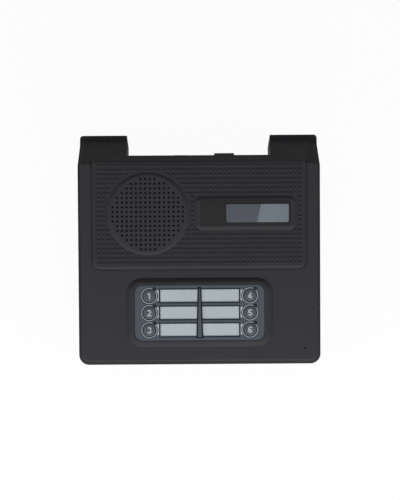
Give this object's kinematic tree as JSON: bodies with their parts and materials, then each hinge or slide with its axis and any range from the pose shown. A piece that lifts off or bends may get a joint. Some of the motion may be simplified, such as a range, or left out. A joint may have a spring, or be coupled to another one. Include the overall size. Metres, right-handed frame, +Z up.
{
  "type": "desktop intercom console",
  "caption": "Wedge-shaped desktop intercom console with a round speaker grille, a name plate and a panel of numbered call buttons with name windows and call lamps.",
  "frame": {"origin": "middle of the footprint, on the table under the feet", "axes": "+X to the user's right, +Y from the user's side to the rear, +Z up"},
  "size_m": [0.18, 0.1734, 0.0631],
  "materials": {
    "case_plastic": "fine moulded texture",
    "rubber": "matt",
    "circuit_board": "satin",
    "steel": "zinc plated",
    "black_plastic": "satin",
    "white_plastic": "satin",
    "cloth": "fine weave",
    "magnet": "black coat",
    "cone_paper": "pressed pulp",
    "capsule": "satin",
    "label_film": "semi-gloss",
    "badge": "two-tone grey",
    "overlay_film": "fine texture",
    "card_paper": "plain",
    "clear_plastic": "clear",
    "lamp_lens": "smoked",
    "button_plastic": "satin",
    "lamp_body": "tinted",
    "cable_sheath": "satin",
    "lead_sheath": "satin"
  },
  "bodies": {
    "console": {"base_case": "case_plastic", "rubber_feet": "rubber", "main_board": "circuit_board", "board_screws": "steel", "line_socket": "black_plastic", "power_socket": "black_plastic", "audio_chip": "black_plastic", "capacitors": "black_plastic", "cable_headers": "white_plastic", "top_cover": "case_plastic", "grille_cloth": "cloth", "speaker_gasket": "rubber", "speaker_frame": "steel", "speaker_magnet": "magnet", "speaker_surround": "rubber", "speaker_screws": "steel", "mic_boot": "rubber", "microphone": "capsule", "name_label": "label_film", "badge_plate": "badge", "key_overlay": "overlay_film", "name_cards": "card_paper", "window_lenses": "clear_plastic", "led_lenses": "lamp_lens", "key_switches": "black_plastic", "call_leds": "lamp_body", "key_board": "circuit_board", "key_board_screws": "steel", "ribbon_cable": "cable_sheath", "speaker_leads": "lead_sheath", "mic_leads": "lead_sheath", "case_screws": "steel"},
    "cone": {"speaker_cone": "cone_paper", "dust_cap": "cone_paper"},
    "button_1": {"call_button_1": "button_plastic", "switch_plunger_1": "black_plastic"},
    "button_2": {"call_button_2": "button_plastic", "switch_plunger_2": "black_plastic"},
    "button_3": {"call_button_3": "button_plastic", "switch_plunger_3": "black_plastic"},
    "button_4": {"call_button_4": "button_plastic", "switch_plunger_4": "black_plastic"},
    "button_5": {"call_button_5": "button_plastic", "switch_plunger_5": "black_plastic"},
    "button_6": {"call_button_6": "button_plastic", "switch_plunger_6": "black_plastic"}
  },
  "joints": [
    {"name": "press_1", "type": "slide", "parent": "console", "child": "button_1", "axis": [0, 0.2588, -0.9659], "range_m": [0, 0.0008], "stiffness_N_per_m": 1500, "springref_m": -0.0005},
    {"name": "press_2", "type": "slide", "parent": "console", "child": "button_2", "axis": [0, 0.2588, -0.9659], "range_m": [0, 0.0008], "stiffness_N_per_m": 1500, "springref_m": -0.0005},
    {"name": "press_3", "type": "slide", "parent": "console", "child": "button_3", "axis": [0, 0.2588, -0.9659], "range_m": [0, 0.0008], "stiffness_N_per_m": 1500, "springref_m": -0.0005},
    {"name": "press_4", "type": "slide", "parent": "console", "child": "button_4", "axis": [0, 0.2588, -0.9659], "range_m": [0, 0.0008], "stiffness_N_per_m": 1500, "springref_m": -0.0005},
    {"name": "press_5", "type": "slide", "parent": "console", "child": "button_5", "axis": [0, 0.2588, -0.9659], "range_m": [0, 0.0008], "stiffness_N_per_m": 1500, "springref_m": -0.0005},
    {"name": "press_6", "type": "slide", "parent": "console", "child": "button_6", "axis": [0, 0.2588, -0.9659], "range_m": [0, 0.0008], "stiffness_N_per_m": 1500, "springref_m": -0.0005},
    {"name": "cone_stroke", "type": "slide", "parent": "console", "child": "cone", "axis": [0, -0.2588, 0.9659], "range_m": [-0.0004, 0.0004], "stiffness_N_per_m": 1500, "deforming": ["speaker_surround"]}
  ]
}
